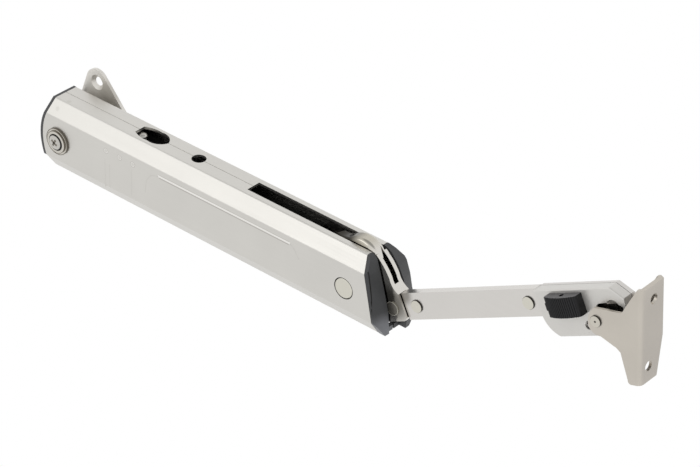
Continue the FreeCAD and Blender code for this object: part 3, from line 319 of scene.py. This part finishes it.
MATERIALS = {
    "case_steel": metal("case_satin_steel", (0.665, 0.65, 0.615), 0.38, grain_axis=0),
    "satin_steel": metal("satin_steel", (0.67, 0.65, 0.625), 0.34, grain_axis=0),
    "warm_steel": metal("warm_satin_steel", (0.62, 0.58, 0.515), 0.36, clouding=0.075),
    "screw_steel": metal("plated_screw", (0.56, 0.545, 0.51), 0.28),
    "dark_steel": metal("dark_steel", (0.05, 0.047, 0.042), 0.45),
    "spring_steel": metal("spring_wire", (0.30, 0.30, 0.31), 0.35),
    "dark_plastic": plastic("dark_moulding", (0.046, 0.047, 0.049), 0.46),
    "black_plastic": plastic("black_moulding", (0.010, 0.010, 0.009), 0.60, specular=0.25),
    "button_plastic": plastic("button_moulding", (0.008, 0.008, 0.009), 0.34, specular=0.25),
}
# Nodes that differ from the finish of their slot
OWN_FINISH = {
    "main_pin": metal("pin_steel", (0.67, 0.65, 0.575), 0.34),
    "hinge_pin": metal("hinge_pin_steel", (0.62, 0.59, 0.52), 0.34),
    # Painted reflection: the tip rivet's steel face painted dark where it mirrors the dark cap
    "tip_rivet": metal("tip_rivet_painted_reflection_steel", (0.20, 0.19, 0.165), 0.30),
    "pivot_collar": metal("collar_steel", (0.60, 0.575, 0.52), 0.26),
    "arm": metal("arm_steel", (0.67, 0.65, 0.61), 0.15),
    "base_bracket": metal("bracket_steel", (0.76, 0.735, 0.69), 0.40, clouding=0.06,
                          metallic=0.6),
    "link_channel": metal("link_steel", (0.68, 0.66, 0.63), 0.30, grain_axis=0),
    "lock_shell_front": metal("lock_steel", (0.66, 0.645, 0.615), 0.36, grain_axis=0,
                              metallic=0.55),
    "seat_screw": metal("dull_screw", (0.80, 0.78, 0.72), 0.45, metallic=0.25),
    "lid_bracket": metal("lid_bracket_steel", (0.60, 0.56, 0.50), 0.36, clouding=0.075),
    # Painted shade: a darker copy of the dark moulding for the front cap
    "right_cap_front": plastic("front_cap_painted_shade_moulding", (0.033, 0.034, 0.036), 0.42),
}
# Finishes of pieces that the solids leave out: painted shade and painted highlights
# Painted shade in the pivot screw's cross recess and on the collar's edges
PAINTED_SHADE_STEEL = metal("painted_shade_steel", (0.22, 0.20, 0.17), 0.45)
# Painted highlight on the spot welds and the pressed line
PAINTED_HIGHLIGHT = metal("painted_highlight_steel", (0.86, 0.845, 0.81), 0.34)
# Painted shade round the spot welds and along the pressed line
SHADE_MARK = metal("mark_shade_steel", (0.50, 0.48, 0.445), 0.40)
# Painted shade of the faint creases on the case's front
FAINT_PAINTED_SHADE = metal("faint_painted_shade_steel", (0.635, 0.62, 0.585), 0.38)

# Finish, centre and radius in millimetres, what the colour is multiplied by, facing axis
SMUDGES_AND_PAINTED_LIGHT = (
    # Painted reflection: the dark cap mirrored in the arm's sides near the hub
    (OWN_FINISH["arm"], (238.0, MID_Y, -2.0), 16.0, (0.24, 0.235, 0.22), "Y"),
    # Painted reflection: dark surroundings mirrored in the left end of the arm's tread
    (OWN_FINISH["arm"], (202.0, MID_Y, 23.0), 15.5, (0.06, 0.056, 0.05), None),
    # Darker, warmer tone over the middle of the arm's tread
    (OWN_FINISH["arm"], (213.0, MID_Y, 26.0), 14.0, (0.78, 0.76, 0.70), None),
    # Darker tone on the base bracket round x 12, z 24
    (OWN_FINISH["base_bracket"], (12.0, 0.0, 24.0), 12.0, (0.72, 0.71, 0.69), None),
    # Painted reflection: the arm's dark end mirrored in the left end of the link's face
    (OWN_FINISH["link_channel"], (243.3, LINK_FACE_Y, 5.1), 8.0, (0.45, 0.44, 0.42), "Y"),
    # Painted shade on the lid bracket's faces that face along x
    (OWN_FINISH["lid_bracket"], (395.0, MID_Y, 52.0), 45.0, (0.86, 0.86, 0.87), "X"),
    # Painted highlight: the button's top made much lighter
    (MATERIALS["button_plastic"], (347.0, MID_Y - 8.0, 50.0), 60.0, (10.5, 9.9, 9.4), "Z"),
    # Painted reflection: the pale floor mirrored in the foot of the front cap
    (OWN_FINISH["right_cap_front"], (236.0, MID_Y - 9.0, -19.5), 13.0, (4.6, 4.6, 4.7), None),
    (MATERIALS["case_steel"], (-2.6, FRONT_Y + 2.8, 19.0), 1.9, (0.90, 0.90, 0.89), None),
    (MATERIALS["case_steel"], (2.0, FRONT_Y + 7.5, TOP_Z), 2.0, (0.91, 0.91, 0.90), None),
)
# Sheet edges catch the light over this width, in millimetres
EDGE_WIDTH = {
    "arm": 0.35, "base_bracket": 0.35, "lid_bracket": 0.3, "link_channel": 0.4,
    "lock_shell_front": 0.2, "lock_shell_rear": 0.2, "main_pin": 0.3, "tip_rivet": 0.2,
    "pivot_collar": 0.2, "right_cap_front": 0.35, "right_cap_rear": 0.35, "left_end_cap": 0.3,
    "release_button": 0.15,
}
EDGE_ANGLE = 38.0      # degrees, from which an edge is bevelled


def dress_nodes():
    """Give every carried-over node the material of its slot, or its own finish where it has one, and a fine bevel
    where an edge width is listed.
    """
    slots = {row["node"]: row["material_slot"] for row in frame["record"]["subparts"]}
    for name, node in NODES.items():
        material = OWN_FINISH.get(name, MATERIALS[slots[name]])
        node.data.materials.clear()
        node.data.materials.append(material)
        if name in EDGE_WIDTH:
            bevel = node.modifiers.new("edge", "BEVEL")
            bevel.width = EDGE_WIDTH[name] * MM
            bevel.segments = 2
            bevel.limit_method = "ANGLE"
            bevel.angle_limit = math.radians(EDGE_ANGLE)
            bevel.harden_normals = True


# Small pieces that the solids leave out, with sizes in millimetres

HEAD_RISE = 0.9        # of the link rivets' and the hinge pin's heads over the sheet
HEAD_WALL = 0.14       # thickness of the wall of painted shade round such a head
MARK_Y = FRONT_Y - 0.02     # front of the marks on the case


def new_piece(name, mesh, material, body):
    """Add one visual piece that rides on a body."""
    mesh.materials.append(material)
    piece = bpy.data.objects.new(name, mesh)
    bpy.context.scene.collection.objects.link(piece)
    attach(piece, body)


def lathe_mesh(name, x, z, profile, sides=48):
    """Round piece about the cross axis from (radius, y) points."""
    build = bmesh.new()
    rows = []
    for across, along in profile:
        row = []
        for index in range(sides):
            turn = 2.0 * math.pi * index / sides
            row.append(build.verts.new(((x + across * math.cos(turn)) * MM, along * MM,
                                        (z + across * math.sin(turn)) * MM)))
        rows.append(row)
    for one, other in zip(rows, rows[1:]):
        for index in range(sides):
            build.faces.new((one[index], other[index], other[index - 1], one[index - 1]))
    bmesh.ops.remove_doubles(build, verts=build.verts, dist=1e-7)
    bmesh.ops.recalc_face_normals(build, faces=build.faces)
    mesh = bpy.data.meshes.new(name)
    build.to_mesh(mesh)
    build.free()
    return mesh


def ring_mesh(name, x, z, bore, radius, front, back, sides=64):
    """Flat ring about the cross axis, between two planes."""
    return lathe_mesh(name, x, z, [(bore, back), (bore, front), (radius, front), (radius, back),
                                   (bore, back)], sides)


def block_mesh(name, corner, opposite, matrix=Matrix.Identity(4)):
    """Box between two corners, then moved by a matrix that is also in millimetres."""
    build = bmesh.new()
    bmesh.ops.create_cube(build, size=1.0)
    middle = [(a + b) / 2.0 for a, b in zip(corner, opposite)]
    extent = [abs(b - a) for a, b in zip(corner, opposite)]
    for vertex in build.verts:
        vertex.co = Vector([m + c * e for m, c, e in zip(middle, vertex.co, extent)])
    build.transform(Matrix.Scale(MM, 4) @ matrix)
    mesh = bpy.data.meshes.new(name)
    build.to_mesh(mesh)
    build.free()
    return mesh


def line_mesh(name, start, end, half, front, back):
    """Thin bar between two (x, z) points, half as wide as given to each side."""
    length, turn = math.dist(start, end), math.atan2(end[1] - start[1], end[0] - start[0])
    mesh = block_mesh(name, (0.0, front, -half), (length, back, half))
    at_start = Matrix.Translation((start[0] * MM, 0.0, start[1] * MM))
    mesh.transform(at_start @ Matrix.Rotation(-turn, 4, "Y"))
    return mesh


def rivet_head(name, at, radius, face, light, body, dimple=0.0):
    """Flat head that stands off the sheet, with a wall of painted shade under a light face."""
    out = face - HEAD_RISE
    inner = radius - HEAD_WALL
    # Painted shade: the head's side wall in dark steel
    wall = ring_mesh(name + "_wall", *at, inner, radius, out + 0.25, face)
    new_piece(name + "_wall", wall, MATERIALS["dark_steel"], body)
    profile = [(inner, face - 0.01), (inner, out + 0.08), (inner - 0.1, out)]
    if dimple:
        profile += [(dimple, out), (0.0, out + dimple)]
    else:
        profile.append((0.0, out))
    new_piece(name + "_head", lathe_mesh(name + "_head", *at, profile), light, body)


def rivet_heads():
    """Heads of the link rivets and the hinge pin with walls of painted shade, painted shade in the hinge pin's
    dimple, and a ring of light steel round the tip rivet's face, which is painted dark.
    """
    pin_steel = OWN_FINISH["main_pin"]
    for name, rivet in (("link_head_lower", "link_rivet_lower"),
                        ("link_head_upper", "link_rivet_upper")):
        rivet_head(name, axis_at(rivet), 3.6, LINK_FACE_Y, pin_steel, "arm")
    rivet_head("hinge_head", HINGE, 3.1, LID_EAR_Y, OWN_FINISH["hinge_pin"], "lid", dimple=0.5)
    # Painted shade: a dark disc in the hinge pin's dimple
    out = LID_EAR_Y - HEAD_RISE
    dimple_shade = lathe_mesh("hinge_dimple", *HINGE, [(0.55, out + 0.04), (0.55, out - 0.03),
                                               (0.0, out - 0.03)])
    new_piece("hinge_dimple", dimple_shade, MATERIALS["dark_steel"], "lid")
    # Ring of light steel round the tip rivet's face, which is painted dark
    front = box_mm("tip_rivet")[0].y
    ring = ring_mesh("tip_ring", *axis_at("tip_rivet"), 3.7, 4.0, front - 0.06, front + 0.4)
    new_piece("tip_ring", ring, pin_steel, "arm")


def pivot_screw_crown():
    """Low dome of the pivot screw, a little off the collar's middle, with painted shade in its
    cross recess and in the gap round it, and painted shade lines on the collar's edges."""
    x, z = -0.35, -0.15
    radius = 4.3
    crown, rim = FRONT_Y - 2.98, FRONT_Y - 2.3
    sphere = (radius ** 2 + (rim - crown) ** 2) / (2.0 * (rim - crown))
    dome = []
    for step in range(9):
        across = radius * (1.0 - step / 8.0)
        dome.append((across, crown + sphere - math.sqrt(sphere ** 2 - across ** 2)))
    new_piece("pivot_crown", lathe_mesh("pivot_crown", x, z, [(radius, FRONT_Y - 1.4)] + dome),
              MATERIALS["screw_steel"], "base")
    slit_length, slit_width, slit_depth, recess_turn = 4.6, 1.2, 0.6, 28.0
    # Painted shade in the screw's cross recess
    for index, quarter in enumerate((0.0, 90.0), start=1):
        name = "pivot_slit_%d" % index
        turn = Matrix.Rotation(math.radians(recess_turn + quarter), 4, "Y")
        mesh = block_mesh(name, (-slit_length / 2.0, crown - 0.01, -slit_width / 2.0),
                          (slit_length / 2.0, crown + slit_depth, slit_width / 2.0),
                          Matrix.Translation((x, 0.0, z)) @ turn)
        new_piece(name, mesh, PAINTED_SHADE_STEEL, "base")
    # Painted shade in the gap round the screw and along the collar's edges
    for name, bore, outer, front, back, finish in (
            ("pivot_gap", 3.9, 5.22, 1.98, 0.6, MATERIALS["black_plastic"]),
            ("collar_step_edge", 6.72, 6.93, 2.01, 1.1, PAINTED_SHADE_STEEL),
            ("collar_edge", 7.95, 8.19, 1.15, 0.1, PAINTED_SHADE_STEEL)):
        mesh = ring_mesh(name, 0.0, 0.0, bore, outer, FRONT_Y - front, FRONT_Y - back)
        new_piece(name, mesh, finish, "base")


def seat_screw_dome():
    """Low dome over the head of the seat screw, a little off its middle, seen in the
    oval opening."""
    low, high = box_mm("seat_screw")
    centre = Vector(((low.x + high.x) / 2.0 + 0.7, (low.y + high.y) / 2.0 + 0.7, high.z + 1.0))
    half_axes = Matrix.Diagonal((3.0, 3.0, 1.6, 1.0))
    build = bmesh.new()
    bmesh.ops.create_uvsphere(build, u_segments=32, v_segments=12, radius=1.0)
    build.transform(Matrix.Scale(MM, 4) @ Matrix.Translation(centre) @ half_axes)
    mesh = bpy.data.meshes.new("seat_screw_dome")
    build.to_mesh(mesh)
    build.free()
    new_piece("seat_screw_dome", mesh, MATERIALS["screw_steel"], "case")


def weld_rings():
    """Spot welds on the front of the case, each a rim of painted highlight in a rim of painted shade."""
    for index, x in enumerate(WELDS_X, start=1):
        for kind, bore, radius, finish in (("rim", 1.15, 1.45, PAINTED_HIGHLIGHT),
                                           ("shade", 1.45, 1.75, SHADE_MARK)):
            name = "weld_%s_%d" % (kind, index)
            mesh = ring_mesh(name, x, WELD_Z, bore, radius, MARK_Y, FRONT_Y + 0.05, sides=32)
            new_piece(name, mesh, finish, "case")


def pressed_lines():
    """The pressed line as a strip of painted highlight with strips of painted shade above and below, and faint
    upright lines of painted shade left of it.
    """
    for name, start, end, low, high, finish in (
            ("pressed_line", 78.0, 175.0, 10.2, 11.5, PAINTED_HIGHLIGHT),
            ("pressed_shade", 79.0, 174.0, 9.5, 10.2, SHADE_MARK),
            ("pressed_shade_upper", 79.0, 174.0, 11.5, 11.75, SHADE_MARK),
            ("faint_line_1", 37.0, 37.5, -14.0, 4.5, FAINT_PAINTED_SHADE),
            ("faint_line_2", 40.6, 41.0, -13.0, 2.5, FAINT_PAINTED_SHADE),
            ("faint_line_3", 57.6, 58.1, -11.0, 6.0, FAINT_PAINTED_SHADE)):
        mesh = block_mesh(name, (start, MARK_Y, low), (end, FRONT_Y + 0.1, high))
        new_piece(name, mesh, finish, "case")


def faint_branches():
    """Faint creases that run down from both ends of the pressed line, drawn as thin strips of painted shade."""
    left_end = ((78.2, 10.6), (72.5, 8.6), (69.3, 4.0), (68.4, -4.0))
    right_end = ((174.8, 10.6), (177.6, 9.0), (181.4, 3.5))
    stretches = [*zip(left_end, left_end[1:]), *zip(right_end, right_end[1:])]
    for index, (start, end) in enumerate(stretches, start=1):
        name = "faint_branch_%d" % index
        mesh = line_mesh(name, start, end, 0.3, MARK_Y, FRONT_Y + 0.1)
        new_piece(name, mesh, FAINT_PAINTED_SHADE, "case")


def seam_backing():
    """Strips just under the seam in the top, between its openings."""
    low, high = TOP_Z - 0.8, TOP_Z - 0.22
    stretches = ((-6.4, 51.0), (73.3, 91.7), (100.3, 135.7))
    for index, (start, end) in enumerate(stretches, start=1):
        name = "seam_backing_%d" % index
        mesh = block_mesh(name, (start, MID_Y - 0.2, low), (end, MID_Y + 0.2, high))
        new_piece(name, mesh, MATERIALS["case_steel"], "case")


def cap_crease():
    """Line of painted shade in the front cap's crease, through (x, z, distance from the middle plane)."""
    track = ((227.6, 16.8, 12.72), (228.3, 14.97, 12.72), (229.66, 8.07, 12.75),
             (231.0, 0.0, 13.05), (231.7, -4.5, 13.45), (232.3, -8.5, 13.6))
    for index, (start, end) in enumerate(zip(track, track[1:]), start=1):
        name = "cap_crease_%d" % index
        out = MID_Y - start[2]
        mesh = line_mesh(name, start[:2], end[:2], 0.22, out, out + 0.5)
        # Painted shade along the crease
        new_piece(name, mesh, MATERIALS["black_plastic"], "case")


make_camera()
make_floor()
make_softbox()
make_world()
bpy.context.scene.view_settings.view_transform = "Standard"
for finish, centre, radius, level, facing in SMUDGES_AND_PAINTED_LIGHT:
    add_smudge_and_painted_light(finish, centre, radius, level, facing)
dress_nodes()
rivet_heads()
pivot_screw_crown()
seat_screw_dome()
weld_rings()
pressed_lines()
faint_branches()
seam_backing()
cap_crease()
